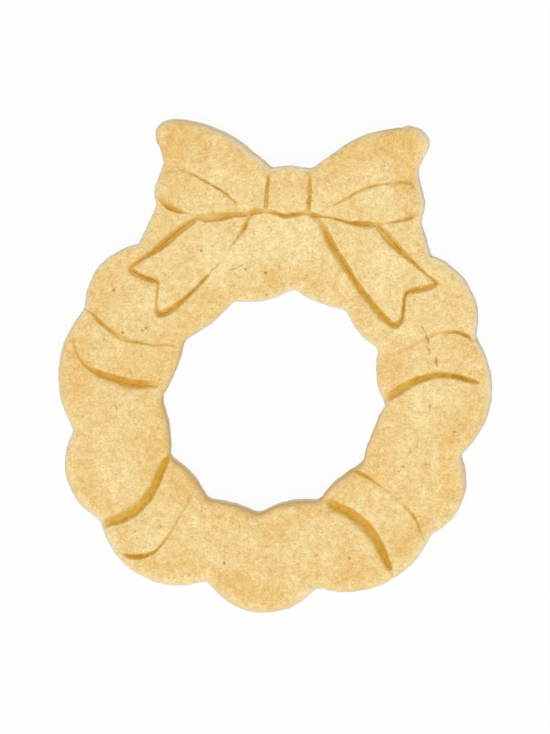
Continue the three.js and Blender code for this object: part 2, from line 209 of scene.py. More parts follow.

# Pressed lines: points are x, y, the line's width and how dark it is there: 0 is bare dough, 1 gold and
# more is brown, a tint of the pressed dough with painted shade of the groove. The edges of the wraps run
# from the hole to the rim, and the sides of the tails from the bow to their end.
LINES = {
    "upper_left_fine": [
        (-15.4, 8.75, 0.3, 0.12), (-17.05, 9.3, 0.3, 0.4), (-19.7, 9.25, 0.3, 0.5),
        (-22, 9.7, 0.4, 0.65), (-24.2, 10.15, 0.5, 0.55), (-25.4, 10.8, 0.6, 0.6), (-27, 12, 0.55, 0.8),
        (-28.4, 13.2, 0.5, 1), (-29.3, 14.2, 0.32, 0.8), (-30.5, 14.85, 0.15, 0.3),
    ],
    "upper_left_broad": [
        (-16.9, 2.5, 0.25, 0.1), (-18.4, 2.87, 0.7, 0.2), (-19.6, 2.85, 0.98, 0.55),
        (-21.4, 2.85, 1.18, 0.88), (-23.6, 3.12, 1.22, 0.9), (-26.05, 3.76, 1.15, 1),
        (-28.4, 4.57, 1.0, 1), (-29.9, 5.4, 0.55, 0.75), (-30.85, 6.15, 0.35, 0.55),
        (-31.85, 7.65, 0.28, 0.5), (-32.5, 9.2, 0.26, 0.3), (-32.75, 11, 0.15, 0.2),
    ],
    "lower_left_broad": [
        (-17, -9.05, 0.5, 0.5), (-17.5, -9.9, 0.95, 0.95), (-18.4, -11.95, 1.05, 1.1),
        (-19.45, -14.28, 1.2, 1), (-20.97, -16.53, 1.38, 0.88), (-23.04, -18.3, 1.5, 0.8),
        (-24.82, -19.29, 1.5, 0.8), (-26.4, -19.85, 1.3, 0.75), (-27.3, -20.2, 1.1, 0.6),
        (-27.9, -20.4, 0.6, 0.3),
    ],
    "lower_left_fine": [
        (-12.5, -14.1, 0.3, 0.1), (-13.4, -15.2, 0.35, 0.25), (-14.35, -17.15, 0.35, 0.4),
        (-15.4, -19, 0.32, 0.42), (-16.95, -21.7, 0.35, 0.5), (-18.7, -23.95, 0.3, 0.95),
        (-20.1, -24.95, 0.5, 0.95), (-21.9, -25.45, 0.66, 1.45), (-23.3, -25.4, 0.6, 1.45),
        (-24.7, -25, 0.4, 0.3), (-25.4, -24.75, 0.2, 0.2),
    ],
    "lower_right_broad": [
        (8.4, -15.6, 0.35, 0.1), (8.95, -16.1, 0.95, 0.55), (10.3, -16.9, 1.35, 0.88),
        (12.28, -17.86, 1.45, 0.92), (14.46, -19.38, 1.5, 0.88), (16.26, -21.42, 1.4, 0.9),
        (17.46, -23.54, 1.28, 0.95), (18.4, -25.66, 1.05, 1), (18.95, -26.9, 0.85, 0.95),
        (19.2, -27.5, 0.4, 0.4), (19.5, -28.5, 0.15, 0.1),
    ],
    "lower_right_fine": [
        (12.95, -11.08, 0.2, 0.2), (13.7, -11.25, 0.35, 0.65), (14.8, -11.8, 0.42, 1),
        (16.05, -12.55, 0.36, 0.65), (17.6, -13.65, 0.34, 0.4), (18.95, -14.7, 0.34, 0.32),
        (20.7, -16.15, 0.45, 0.25), (22.4, -17.9, 0.42, 0.75), (23.35, -19.4, 0.26, 0.55),
        (23.9, -20.9, 0.3, 0.4), (24.6, -22.4, 0.15, 0.15),
    ],
    "upper_right_fine": [
        (17, 7.1, 0.4, 0.06), (19.3, 8.0, 0.5, 0.22), (21.95, 9.3, 0.5, 0.32), (24.65, 10.65, 0.5, 0.36),
        (26.1, 11.25, 0.5, 0.42), (27.3, 11.58, 0.45, 0.5), (29.6, 11.68, 0.4, 1.05),
        (31.3, 11.08, 0.48, 1.05), (32.1, 10.45, 0.35, 0.6), (32.6, 10.1, 0.2, 0.3),
    ],
    "upper_right_broad": [
        (18.3, 0.6, 0.5, 0.3), (19, 1.05, 0.9, 0.75), (20.6, 2.3, 1.1, 1.05), (23.05, 3.65, 0.95, 1.15),
        (26.1, 4.55, 0.8, 1.05), (28.2, 4.65, 0.66, 1.3), (30.2, 4.3, 0.7, 1.7),
        (31.75, 3.8, 0.62, 1.35), (33.1, 3.5, 0.4, 0.9), (33.6, 3.4, 0.2, 0.3), (34.7, 3.1, 0.12, 0.05),
    ],
    "underside_left": [
        (-19.15, 33.4, 0.2, 0.2), (-18.3, 32.65, 0.45, 0.5), (-17.1, 31.7, 0.72, 0.85),
        (-15.65, 31.1, 0.6, 0.9), (-13.95, 30.75, 0.3, 0.4), (-12.5, 30.3, 0.6, 0.4),
        (-11, 29.95, 1.4, 0.52), (-9.4, 30.05, 1.3, 0.6), (-7.8, 30.25, 1.05, 0.75),
        (-5.9, 30.5, 0.7, 0.75), (-4.1, 30.6, 0.65, 0.65), (-3.2, 30.9, 0.75, 0.85),
        (-1.1, 31.2, 0.55, 0.5),
    ],
    "underside_knot": [
        (-1.1, 31.2, 0.55, 0.5), (0.1, 30.95, 0.55, 0.85), (1.8, 30.43, 0.6, 1), (3.3, 30.62, 0.55, 1),
        (5, 30.95, 0.5, 0.7), (5.75, 30.9, 0.55, 0.5),
    ],
    "underside_right": [
        (5.75, 30.9, 0.55, 0.5), (6.65, 30.55, 0.85, 0.9), (8.55, 30.32, 0.32, 0.65),
        (11, 29.8, 0.36, 0.85), (12.65, 29.4, 0.6, 1), (15.2, 29.15, 0.9, 0.8), (16.7, 29.1, 0.8, 0.6),
        (18.5, 29.4, 0.3, 0.4), (20.6, 29.75, 0.4, 0.85), (22, 30.2, 0.6, 0.7),
        (22.9, 30.65, 0.45, 0.35), (23.95, 31.1, 0.15, 0.1),
    ],
    "knot_left": [
        (-1.1, 31.2, 0.5, 0.5), (-1.2, 31.9, 0.55, 0.75), (-1.02, 34.5, 0.5, 0.95),
        (-0.8, 36.6, 0.42, 0.85), (-0.72, 37.2, 0.3, 0.4), (-0.62, 37.75, 0.2, 0.2),
    ],
    "knot_right": [
        (5.75, 30.9, 0.5, 0.5), (5.75, 31.7, 0.55, 0.7), (5.88, 34.5, 0.5, 0.9), (5.9, 36.6, 0.42, 0.75),
        (5.87, 37.2, 0.3, 0.3), (5.8, 37.75, 0.2, 0.15),
    ],
    "knot_left_corner": [
        (-0.85, 36.9, 0.3, 0.4), (-0.6, 37.35, 0.34, 0.45), (-0.1, 37.62, 0.32, 0.35),
        (0.6, 37.75, 0.25, 0.1),
    ],
    "knot_right_corner": [
        (5.9, 36.8, 0.3, 0.35), (5.7, 37.25, 0.34, 0.4), (5.2, 37.55, 0.32, 0.3), (4.5, 37.7, 0.25, 0.1),
    ],
    "left_fold": [
        (-17.9, 37.2, 0.2, 0.15), (-17.2, 37.5, 0.34, 0.5), (-15.8, 37.65, 0.3, 0.25),
        (-14.4, 37.55, 0.24, 0.15), (-12.9, 36.95, 0.26, 0.75), (-9.6, 35.1, 0.27, 1.1),
        (-7.95, 34.1, 0.27, 1.1), (-5.85, 32.2, 0.14, 0.5),
    ],
    "right_fold": [
        (9.9, 32.2, 0.2, 0.5), (11.85, 33.35, 0.34, 0.7), (14.3, 34.7, 0.36, 0.7),
        (17.2, 35.6, 0.32, 0.75), (19.3, 35.85, 0.32, 0.65), (20.9, 36, 0.36, 0.8),
        (22.2, 35.75, 0.4, 0.85), (22.95, 35.2, 0.2, 0.4),
    ],
    "left_tail_outer": [
        (-12.3, 30.1, 0.6, 0.65), (-13.15, 29.45, 0.8, 0.8), (-15.25, 27.95, 0.95, 1.05),
        (-18.3, 25.35, 0.98, 1.25), (-20.25, 23.95, 0.62, 1.15), (-22.1, 22.75, 0.45, 0.75),
        (-23, 22.05, 0.6, 0.6), (-23.15, 21.45, 0.7, 0.7),
    ],
    "left_tail_end": [
        (-23.15, 21.45, 0.7, 0.7), (-22.7, 21.15, 0.75, 0.85), (-20.9, 20.25, 0.66, 1),
        (-19.2, 19.75, 0.6, 0.95), (-18.8, 19.45, 0.5, 0.85), (-18.75, 18.9, 0.42, 0.7),
        (-18.9, 17.6, 0.34, 0.9), (-19.05, 15.8, 0.45, 0.4), (-18.95, 14.8, 0.75, 0.8),
        (-18.5, 14.3, 0.9, 0.95),
    ],
    "left_tail_inner": [
        (-3.5, 30.85, 0.6, 0.7), (-3.9, 30.15, 0.55, 0.5), (-4.75, 28.45, 0.55, 0.9),
        (-5.7, 27, 0.4, 0.6), (-7.1, 25.1, 0.2, 0.2), (-8.85, 22.85, 0.14, 0.08),
        (-10.35, 21.05, 0.16, 0.2), (-10.75, 20.55, 0.38, 0.9), (-12.2, 18.95, 0.48, 0.85),
        (-14.05, 17.15, 0.58, 1), (-16.1, 15.45, 0.75, 0.9), (-17.5, 14.5, 0.85, 0.9),
        (-18.5, 14.3, 0.9, 0.95),
    ],
    "right_tail_outer": [
        (16.7, 29.1, 0.8, 0.6), (18.75, 26.75, 1.1, 0.9), (20.15, 25.2, 0.92, 1), (21.5, 24, 0.7, 1),
        (23.5, 22.2, 0.42, 0.8), (25.05, 20.8, 0.36, 0.85), (26.05, 20.05, 0.5, 0.8),
        (26.35, 19.6, 0.7, 0.85),
    ],
    "right_tail_end": [
        (26.35, 19.6, 0.7, 0.85), (26, 19.25, 0.75, 0.85), (25.2, 18.9, 0.8, 0.85),
        (23.6, 18.55, 0.8, 1), (22.2, 18.25, 0.62, 1), (21.65, 18, 0.55, 0.95), (21.35, 17.35, 0.48, 1),
        (21.2, 16.25, 0.45, 1), (21.05, 14.75, 0.52, 1), (20.7, 13.4, 0.68, 1), (19.95, 12.75, 0.8, 1),
    ],
    "right_tail_inner": [
        (6.7, 30.45, 0.85, 0.85), (7.25, 29.85, 1.0, 0.42), (8.3, 28.3, 1.05, 0.66),
        (9.4, 26, 1.1, 0.85), (11.2, 23.15, 0.95, 0.9), (13.28, 19.84, 0.9, 0.86),
        (15.72, 16.6, 0.98, 0.82), (17.68, 14.3, 0.98, 0.78), (19.2, 12.95, 0.85, 1),
        (19.95, 12.75, 0.8, 1),
    ],
}
# How far a line's two walls lean back, to the left and to the right of its course; 1 is steep
LEANS = {
    "upper_left_broad": (1.2, 1.0),
    "lower_left_broad": (1.0, 1.4),
    "lower_right_broad": (1.0, 1.4),
    "upper_right_broad": (1.05, 1.14),
    "underside_left": (1.35, 1.0),
    "underside_right": (1.0, 1.3),
    "left_tail_outer": (1.1, 1.1),
    "right_tail_outer": (1.1, 1.1),
    "right_tail_inner": (1.0, 1.25),
}
EVEN_LEANS = (1.0, 1.0)  # of the other lines
# Cracks: x, y, width
CRACKS = (
    [
        (23.75, 12.85, 0.1), (24.2, 12.4, 0.16), (24.5, 11.85, 0.16), (24.9, 11.3, 0.14),
        (24.8, 10.8, 0.19), (25.15, 10.4, 0.2), (25.2, 10.05, 0.19), (25.05, 9.65, 0.14),
        (24.9, 9.25, 0.15), (25.25, 8.7, 0.19), (25.3, 7.9, 0.08),
    ],
    [(26.4, 7.95, 0.12), (26.5, 7.2, 0.2), (26.42, 6.7, 0.23), (26.6, 6.05, 0.12)],
    [(-9.7, 21.6, 0.05), (-9.1, 22.2, 0.16), (-8.8, 22.7, 0.05)],
    [
        (-7.2, 21.5, 0.05), (-6.7, 21.65, 0.19), (-5.9, 21.95, 0.13), (-5.05, 22.4, 0.18),
        (-4.8, 22.6, 0.05),
    ],
    [(25.4, 0.1, 0.06), (25.42, -0.5, 0.2), (25.4, -1, 0.06)],
    [(-25.55, -0.65, 0.06), (-25.5, -1.2, 0.18), (-25.5, -1.65, 0.06)],
    [(20, -11.25, 0.05), (20.4, -11.1, 0.17), (20.8, -10.95, 0.05)],
    [(-22.9, -21.7, 0.05), (-22.6, -21.3, 0.17), (-22.3, -20.9, 0.05)],
    [(21.8, -8.7, 0.05), (22.2, -7.9, 0.16), (22.4, -7, 0.05)],
    [(-23.4, 5.3, 0.05), (-23.2, 4.8, 0.17), (-23, 4.3, 0.05)],
    [(6.6, -25.2, 0.05), (7, -24.9, 0.18), (7.5, -24.9, 0.05)],
)
# Pores: x, y, radius, depth
PORES = (
    (-1.25, 21.15, 0.2, 0.22), (-1.1, 17.6, 0.16, 0.15), (-11.7, 24.7, 0.2, 0.2),
    (-25.9, 18.2, 0.22, 0.22), (-24.5, 11.3, 0.2, 0.2), (-21.25, 11.6, 0.18, 0.18),
    (-20.7, 12, 0.18, 0.18), (-24.2, 1.2, 0.14, 0.1), (-18.3, -20.4, 0.16, 0.14), (-8, -26.4, 0.2, 0.2),
    (12.4, -25.4, 0.2, 0.2), (-4.5, 21.7, 0.17, 0.18), (29.4, -4.6, 0.17, 0.18),
    (21.6, -4.05, 0.14, 0.12), (21.2, -10.35, 0.15, 0.15), (24.8, -9.9, 0.16, 0.14),
    (-24.3, -3.75, 0.13, 0.1),
)
# Toasted patches: x, y, radius, how toasted; a pale one is below zero
TOASTED = (
    (-16.5, 42.6, 3.6, 0.9), (-18.6, 43.6, 1.4, -0.3), (-11, 41.1, 3.5, 0.55), (-14.6, 35.4, 3.0, 0.5),
    (20.4, 42.2, 3.0, 0.95), (24.2, 41.8, 1.6, -0.5), (14.9, 41.1, 3.5, 0.5), (10.5, 38.5, 3.0, 0.35),
    (21.2, 36.1, 2.0, 0.6), (-32.1, 2.8, 2.8, 0.85), (-32.3, 8.5, 2.5, 0.5), (-17.5, 9.3, 3.0, 0.55),
    (-31.3, -12.9, 3.0, 0.6), (-27.2, 18.3, 2.5, 0.4), (-0.5, 20.7, 2.6, 0.75), (-6.2, 19.9, 2.5, 0.35),
    (6.8, 19.9, 2.5, 0.3), (-11, 15.8, 3.0, 0.5), (-20, -8.7, 3.0, 0.45), (-15.1, -14.4, 3.0, 0.4),
    (-1.3, -30.5, 4.0, 0.8), (-7, -29.2, 2.5, 0.45), (12.8, -28.1, 3.6, 0.85), (-16.4, -26.3, 3.0, 0.4),
    (0.3, -20.9, 2.5, 0.3), (-4.5, -17.3, 2.0, 0.25), (29.8, -5.4, 3.4, 0.4), (31.9, -1.3, 2.8, 0.5),
    (28.7, -13.5, 3.4, 0.6), (18.2, -8.7, 3.0, 0.4), (23, -18.9, 2.0, 0.5), (20.6, -23.3, 2.6, 0.6),
    (14.9, -12.4, 2.5, 0.35), (29.5, 9.3, 2.5, 0.4), (19.3, 5.2, 3.0, 0.4), (28.7, 15.8, 3.0, 0.3),
    (-24.8, -2.9, 5.0, 0.1), (1.9, 26.4, 6.0, -0.65), (-7, 22.9, 5.0, -0.45), (18.2, 22.4, 5.0, -0.65),
    (-26.4, -9.5, 4.0, -0.15), (-19.9, -20.9, 3.5, -0.35), (-11, 37.5, 3.5, -0.3),
    (17.4, 34.6, 3.5, -0.3), (19.8, 11.8, 3.5, -0.45), (27.5, 19.5, 3.5, -0.35), (25.5, 0.3, 5.0, -0.35),
    (-5.4, -22.5, 5.0, 0.1), (28.7, 12.5, 4.0, -0.2), (-20, 15, 3.0, -0.4), (-24, 6.8, 4.0, 0.5),
)


def resample(line, shares, by_angle=0.0):
    """Points of a polyline at given shares of its length: each column is read off linearly along the
    length. A part of the length can be replaced by the angle turned about the wreath's centre."""
    steps = np.hypot(np.diff(line[:, 0]), np.diff(line[:, 1]))
    along = np.concatenate([[0.0], np.cumsum(steps)]) / steps.sum()
    if by_angle:
        turned = np.unwrap(np.arctan2(line[:, 1], line[:, 0]))
        turned = (turned - turned[0]) / (turned[-1] - turned[0])
        along = np.maximum.accumulate((1 - by_angle) * along + by_angle * turned)
    return np.stack([np.interp(shares, along, column) for column in line.T], axis=1)


def spaced_evenly(loop, count):
    """A closed loop as a number of points at even steps along it."""
    return resample(np.vstack([loop, loop[:1]]), np.arange(count) / count)


def length_of(line):
    """Length of a polyline: the sum of its steps."""
    return np.hypot(np.diff(line[:, 0]), np.diff(line[:, 1])).sum()


def smooth_line(points):
    """A Catmull-Rom curve through the points: between two of them a cubic whose slope at each is half the
    step from the point before it to the point after it. Width and darkness are carried in the same way."""
    p = np.asarray(points, float)
    p = np.vstack([2 * p[0] - p[1], p, 2 * p[-1] - p[-2]])
    t = np.linspace(0, 1, SPAN_STEPS, endpoint=False)[None, :, None]
    a, b, c, d = (p[k : len(p) - 3 + k, None] for k in range(4))
    cubic = b + 0.5 * t * (c - a + t * (2 * a - 5 * b + 4 * c - d + t * (3 * (b - c) + d - a)))
    curve = np.vstack([cubic.reshape(-1, p.shape[1]), p[-2:-1]])
    curve[:, 2:] = np.maximum(curve[:, 2:], LEAST_WIDTH)
    return curve


crumb_table = np.random.RandomState(CRUMB_SEED).rand(*[CRUMB_CELLS] * 3).astype(np.float32)


def crumb(x, y, z, size):
    """Smooth random bumps from -1 to 1, one to each cube of the given size: values at the cube's eight
    corners, blended by 3t^2 - 2t^3 along each axis."""
    places = [np.asarray(c, float) / size for c in (x, y, z)]
    cells = [np.floor(p).astype(int) for p in places]
    t = [(p - c) for p, c in zip(places, cells)]
    t = [s * s * (3 - 2 * s) for s in t]
    total = 0.0
    for corner in np.ndindex(2, 2, 2):
        weight = 1.0
        for k in range(3):
            weight = weight * (t[k] if corner[k] else 1 - t[k])
        total = total + weight * crumb_table[tuple((cells[k] + corner[k]) % CRUMB_CELLS for k in range(3))]
    return 2 * total - 1


def bumps(x, y, z, kinds):
    """The sum of several kinds of crumbs, each with its own height, size and level."""
    return sum(high * crumb(x, y, z + level, size) for high, size, level in kinds)


def bell(x, y, middle_x, middle_y, radius):
    """A round bell, 1 at its middle and about a third at its radius."""
    return np.exp(-((x - middle_x) ** 2 + (y - middle_y) ** 2) / radius**2)


def turned_from(points, start):
    """Anticlockwise angle of points about the origin in whole turns, from 0 at the start angle up to 1."""
    return (np.arctan2(points[:, 1], points[:, 0]) / (2 * np.pi) - start) % 1


def outward(loop):
    """Unit normals of a closed anticlockwise loop, right of its course: the central step turned back."""
    step = np.roll(loop, -1, axis=0) - np.roll(loop, 1, axis=0)
    step /= np.maximum(np.hypot(step[:, 0], step[:, 1]), TINY)[:, None]
    return np.stack([step[:, 1], -step[:, 0]], axis=1)


def sheet_outlines():
    """The rim and the hole, anticlockwise: the sheet's lower corners sorted by their angle about the
    wreath's centre, or about the bow's middle for those at the bow, then spaced evenly, smoothed with a
    short bell, roughened a little as a cut in dough is, and set out."""
    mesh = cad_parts["dough_sheet"].data
    corners = np.empty(3 * len(mesh.vertices), np.float32)
    mesh.vertices.foreach_get("co", corners)
    corners = corners.reshape(-1, 3).astype(float) / MM
    low = corners[corners[:, 2] < FOOT_LEVEL, :2] - WREATH_CENTRE
    low = np.unique(low.round(CORNER_DIGITS), axis=0)
    reach = np.hypot(low[:, 0], low[:, 1])
    about_bow = turned_from(low - BOW_MIDDLE, STRAIGHT_DOWN)
    about_wreath = 1 + turned_from(low, STRAIGHT_UP)
    order = np.where(low[:, 1] > BOW_FOOT, about_bow, about_wreath)
    loops = []
    for chosen, outset in ((reach > RIM_SIDE, RIM_OUTSET), (reach < RIM_SIDE, HOLE_OUTSET)):
        loop = low[chosen][np.argsort(order[chosen])]
        count = int(length_of(np.vstack([loop, loop[:1]])) / LOOP_STEP)
        softening = np.exp(-2 * (np.pi * np.fft.fftfreq(count) * SMOOTHING / LOOP_STEP) ** 2)
        waves = np.fft.fft(spaced_evenly(loop, count), axis=0)
        loop = np.fft.ifft(waves * softening[:, None], axis=0).real
        loop = loop + outward(loop) * bumps(*loop.T, 0, CUT_CRUMBS)[:, None]
        loops.append(loop + outset * outward(loop) + NUDGE)
    return loops


def overhang(points, normals):
    """How far the face's edge stands out beyond the foot of the cut below it: most where the cut faces the
    bow's side, not at all on the slope of the left wing, with a small dome over the knot and a nub on the
    right wing."""
    x, y = points.T
    lean = OVERHANG * np.clip(normals[:, 1], 0, 1) * (y > 0)
    lean = lean * (1 - bell(x, y, *WING_SLOPE))
    return lean + KNOT_DOME_OUT * bell(x, y, *KNOT_DOME) + WING_NUB_OUT * bell(x, y, *WING_NUB)


RIM_FOOT, HOLE = sheet_outlines()
RIM = RIM_FOOT + outward(RIM_FOOT) * overhang(RIM_FOOT, outward(RIM_FOOT))[:, None]


def edge_runs(loop):
    """A closed outline as short open runs that share their end points."""
    coarse = loop[::EDGE_SKIP]
    coarse = np.vstack([coarse, coarse[:1]])
    return [coarse[k : k + EDGE_CHUNK + 1] for k in range(0, len(coarse) - 1, EDGE_CHUNK)]


EDGE_RUNS = edge_runs(RIM) + edge_runs(HOLE)


def nearest(line, x, y, reach):
    """For the points within reach of a polyline's box: their places in the arrays, the distance to the
    line, positive to the left of its course, and the line's other columns at the nearest spot. Each point
    is dropped square onto every step of the line, and the nearest foot is kept."""
    low = line[:, :2].min(axis=0) - reach
    high = line[:, :2].max(axis=0) + reach
    near = np.flatnonzero((x > low[0]) & (x < high[0]) & (y > low[1]) & (y < high[1]))
    a, b = line[:-1], line[1:]
    step = b[:, :2] - a[:, :2]
    square = np.maximum((step**2).sum(axis=1), TINY)
    dx = x[near, None] - a[:, 0]
    dy = y[near, None] - a[:, 1]
    share = np.clip((dx * step[:, 0] + dy * step[:, 1]) / square, 0, 1)
    off_x = dx - share * step[:, 0]
    off_y = dy - share * step[:, 1]
    away = off_x**2 + off_y**2
    best = away.argmin(axis=1) if len(near) else np.zeros(0, int)
    rows = np.arange(len(near))
    side = np.sign(step[best, 0] * off_y[rows, best] - step[best, 1] * off_x[rows, best])
    share = share[rows, best][:, None]
    columns = (1 - share) * a[best, 2:] + share * b[best, 2:]
    return near, np.where(side < 0, -1.0, 1.0) * np.sqrt(away[rows, best]), columns


def edge_distance(x, y):
    """Distance from the rim or the hole, whichever is nearer, up to the reach of the edges."""
    distance = np.full(x.shape, EDGE_REACH)
    for run in EDGE_RUNS:
        near, away, _ = nearest(run, x, y, EDGE_REACH)
        distance[near] = np.minimum(distance[near], np.abs(away))
    return distance


def place_on(loop, point):
    """The number of the point of a polyline that lies nearest to a point."""
    return ((loop[:, :2] - point[:2]) ** 2).sum(axis=1).argmin()


def snapped(line, loop, at_start=False):
    """A line whose end is moved to the nearest point of an outline."""
    line = line.copy()
    end = 0 if at_start else -1
    line[end, :2] = loop[place_on(loop, line[end])]
    return line


curves = {name: smooth_line(points) for name, points in LINES.items()}
for corner in ("upper_left", "lower_left", "lower_right", "upper_right"):
    for edge in ("fine", "broad"):
        name = f"{corner}_{edge}"
        curves[name] = snapped(snapped(curves[name], HOLE, at_start=True), RIM)
curves["underside_left"] = snapped(curves["underside_left"], RIM, at_start=True)
for name in ("underside_right", "knot_left", "knot_right"):
    curves[name] = snapped(curves[name], RIM)
crack_curves = [smooth_line(points) for points in CRACKS]


def side_of_line(distance, width, left, right):
    """For points beside a pressed line: that side's part of its width, which is shared out as the two walls
    lean, and whether the wall there is the steep one of two, or leans back."""
    lean = np.where(distance > 0, left, right)
    half = np.maximum(width, THINNEST) * lean / (left + right)
    return half, lean < STEEP_SHARE * np.maximum(left, right), lean > SLOW_LEAN


def halved_at(distance, half, power):
    """A flat-topped bell, one half at the distance half: 2 to minus a power of the two's quotient."""
    return np.exp(-math.log(2) * (np.abs(distance) / half) ** power)


def wall_of_line(distance, width, left, right):
    """Cross-section of a pressed line, 1 at its floor and one half at its two edges, which lie a width
    apart: a flat-topped bell, lower in power on a wall that leans back and on a narrow line."""
    half, steep, slow = side_of_line(distance, width, left, right)
    half = np.where(slow, SLOW_NARROW * half, half)
    even = EVEN_POWER + WIDE_POWER * np.clip((width - WIDE_FROM) / WIDE_SPAN, 0, 1)
    return halved_at(distance, half, np.where(steep, STEEP_POWER, np.where(slow, SLOW_POWER, even)))


def tint_and_shade_of_line(distance, width, left, right):
    """How far a pressed line's colour, its tint with painted shade of the groove, shows, 1 along its
    middle: a flat-topped bell that ends sharply short of the top of a steep wall, and fades slowly up a
    wall that leans back."""
    half, steep, slow = side_of_line(distance, width, left, right)
    short = np.maximum(half - TINT_SHADE_SHORT, TINT_SHADE_LEAST * half)
    reach = np.where(steep, short, np.where(slow, SLOW_REACH * half, half))
    return halved_at(distance, reach, np.where(steep, TINT_SHADE_STEEP, np.where(slow, TINT_SHADE_SLOW, TINT_SHADE_EVEN)))


def pressed(x, y):
    """Depth of the pressed lines at points of the face, how near the nearest line is, the line's colour
    there, partly a tint of the pressed dough and partly painted shade of the groove, and how far it shows
    as a hairline. A line's edges waver by a few hundredths, and its colour is ragged and patchy, with
    painted shade as a dark crease along the floor that comes and goes. Depths of lines that meet are joined
    as the fourth root of the sum of their fourth powers."""
    fourth, line_tint_and_shade, hairline = (np.zeros(x.shape) for _ in range(3))
    apart = np.full(x.shape, LINE_REACH)
    waver, rags, streaks = (bumps(x, y, 0, kind) for kind in (LINE_WAVER, LINE_RAGS, CREASE_STREAKS))
    patchy = 1 + bumps(x, y, 0, LINE_PATCHES)
    for name, line in curves.items():
        near, away, columns = nearest(line, x, y, LINE_REACH)
        width, dark = columns.T
        full = width / FULL_WIDTH
        left, right = LEANS.get(name, EVEN_LEANS)
        steep_side = np.sign(right - left)
        one_sided = abs(right - left) > ONE_SIDED
        away = away + waver[near] * np.clip(full, WAVER_LEAST, 1)
        depth = LINE_DEPTH * (1 - np.exp(-width / DEPTH_WIDTH))
        depth = depth * np.clip(DEPTH_LEAST + DEPTH_BY_DARK * dark, 0, 1)
        fourth[near] += (depth * wall_of_line(away, width, left, right)) ** 4
        ragged = away + rags[near] * np.clip(full, RAGS_LEAST, 1)
        # the line's colour: its tint with painted shade of the groove, darker towards the steep wall, and
        # painted shade in the crease along its floor
        across = np.clip(away / np.maximum(width, THINNEST), -SHADE_SPAN, SHADE_SPAN) * steep_side
        shown = tint_and_shade_of_line(ragged, width, left, right) * dark * patchy[near] * (1 + STEEP_SHADE * across)
        shown = shown if one_sided else EVEN_PALE * shown
        crease = away - CREASE_AT * steep_side * one_sided * width
        crease = np.exp(-((crease / CREASE_WIDTH) ** 2))
        crease = crease * np.clip(CREASE_SHARE + CREASE_BREAKS * streaks[near], 0, 1)
        strength = CREASE_SHADE * np.clip(full, 0, 1) * (1 - CREASE_LESS * one_sided)
        shown = shown + strength * crease * dark
        line_tint_and_shade[near] = np.maximum(line_tint_and_shade[near], shown)
        fineness = np.clip((HAIRLINE_WIDTH - width) / HAIRLINE_FADE, 0, 1)
        hairline[near] = np.maximum(hairline[near], shown * fineness)
        farther = PUFF_THIN * np.clip(FULL_WIDTH - width, 0, FULL_WIDTH)
        apart[near] = np.minimum(apart[near], np.abs(away) + farther)
    return fourth**0.25, apart, line_tint_and_shade, hairline


def cracked(x, y):
    """Depth of the cracks and the pores: a crack is a narrow bell along its line, a pore a round bell."""
    depth = np.zeros(x.shape)
    for line in crack_curves:
        near, away, columns = nearest(line, x, y, CRACK_REACH)
        width = columns[:, 0]
        across = away / (CRACK_SPREAD * np.maximum(width, CRACK_THINNEST))
        depth[near] = np.maximum(depth[near], CRACK_DEPTH * width * np.exp(-(across**2)))
    for px, py, radius, deep in PORES:
        depth = np.maximum(depth, deep * bell(x, y, px, py, radius))
    return depth


def hole_toast_and_shade(x, y):
    """How toasted the hole's edge is, with painted shade added below and at the left: most at the lower
    left, least at the upper right, 0 at the rim.
    """
    reach = np.maximum(np.hypot(x, y), 1)
    share = HOLE_TOAST_EVEN - (HOLE_SHADE_LOW * y + HOLE_SHADE_LEFT * x) / reach
    return HOLE_TOAST_AND_SHADE * (reach < HOLE_SIDE) * share


def face_of_dough(x, y):
    """Height of the pressed face at any point, with the attributes that its colour reads. From the level
    face: slow swells and crumbs, a puff between the lines, a sag and a quarter-ellipse towards the edges,
    the pressed lines, then cracks and pores. The toasting is a band along the edges, round patches and the
    hole's edge, which is also painted shade below and at the left, and a paler lower rim, which is a
    painted highlight; the cut shows where the edge is rounded."""
    edge = edge_distance(x, y)
    depth, apart, line_tint_and_shade, hairline = pressed(x, y)
    broken = cracked(x, y)
    near_line = 1 - np.clip(apart / PUFF_REACH, 0, 1)
    puff = -PUFF * near_line**2 * (3 - 2 * near_line)
    drift = 1 + bumps(x, y, 0, SHOULDER_DRIFT)
    inset = np.clip(1 - edge / (SHOULDER_REACH * drift), 0, 1)
    rounded = 1 - np.sqrt(1 - inset**2)
    shoulder = SHOULDER_DROP * drift * rounded
    sag = EDGE_SAG * np.exp(-edge / EDGE_SAG_REACH)
    height = FACE + bumps(x, y, 0, SWELLS) + bumps(x, y, 0, GRAINS) + puff - sag - shoulder - depth - broken
    height = np.maximum(height, SHEET_TOP + LEAST_LAYER)
    toast_and_painted_light = RIM_TOAST * np.exp(-(((edge - RIM_TOAST_AT) / RIM_TOAST_REACH) ** 2))
    for px, py, radius, amount in TOASTED:
        toast_and_painted_light += amount * bell(x, y, px, py, radius)
    # the hole's edge: toasting, with painted shade below and at the left
    toast_and_painted_light += hole_toast_and_shade(x, y) * np.exp(-edge / HOLE_TOAST_SHADE_REACH)
    # painted highlight: a paler band along the lower rim, the side that faces the lamp
    low_rim = np.clip(-y / LOW_RIM_FROM, 0, 1) * (np.hypot(x, y) > RIM_SIDE)
    toast_and_painted_light -= LOW_RIM_HIGHLIGHT * low_rim * np.exp(-(((edge - LOW_RIM_AT) / LOW_RIM_REACH) ** 2))
    # painted shade: cracks and pores darker the deeper they are, and the finest pressed lines as dark
    # hairlines
    broken = np.clip(np.maximum(broken / BROKEN_DARK, HAIRLINE_DARK * hairline), 0, BROKEN_MOST)
    cut = np.minimum(CUT_GAIN * rounded**CUT_POWER, 1)
    return height, {"line_tint_and_shade": line_tint_and_shade, "toast_and_painted_light": toast_and_painted_light, "broken": broken, "cut": cut}


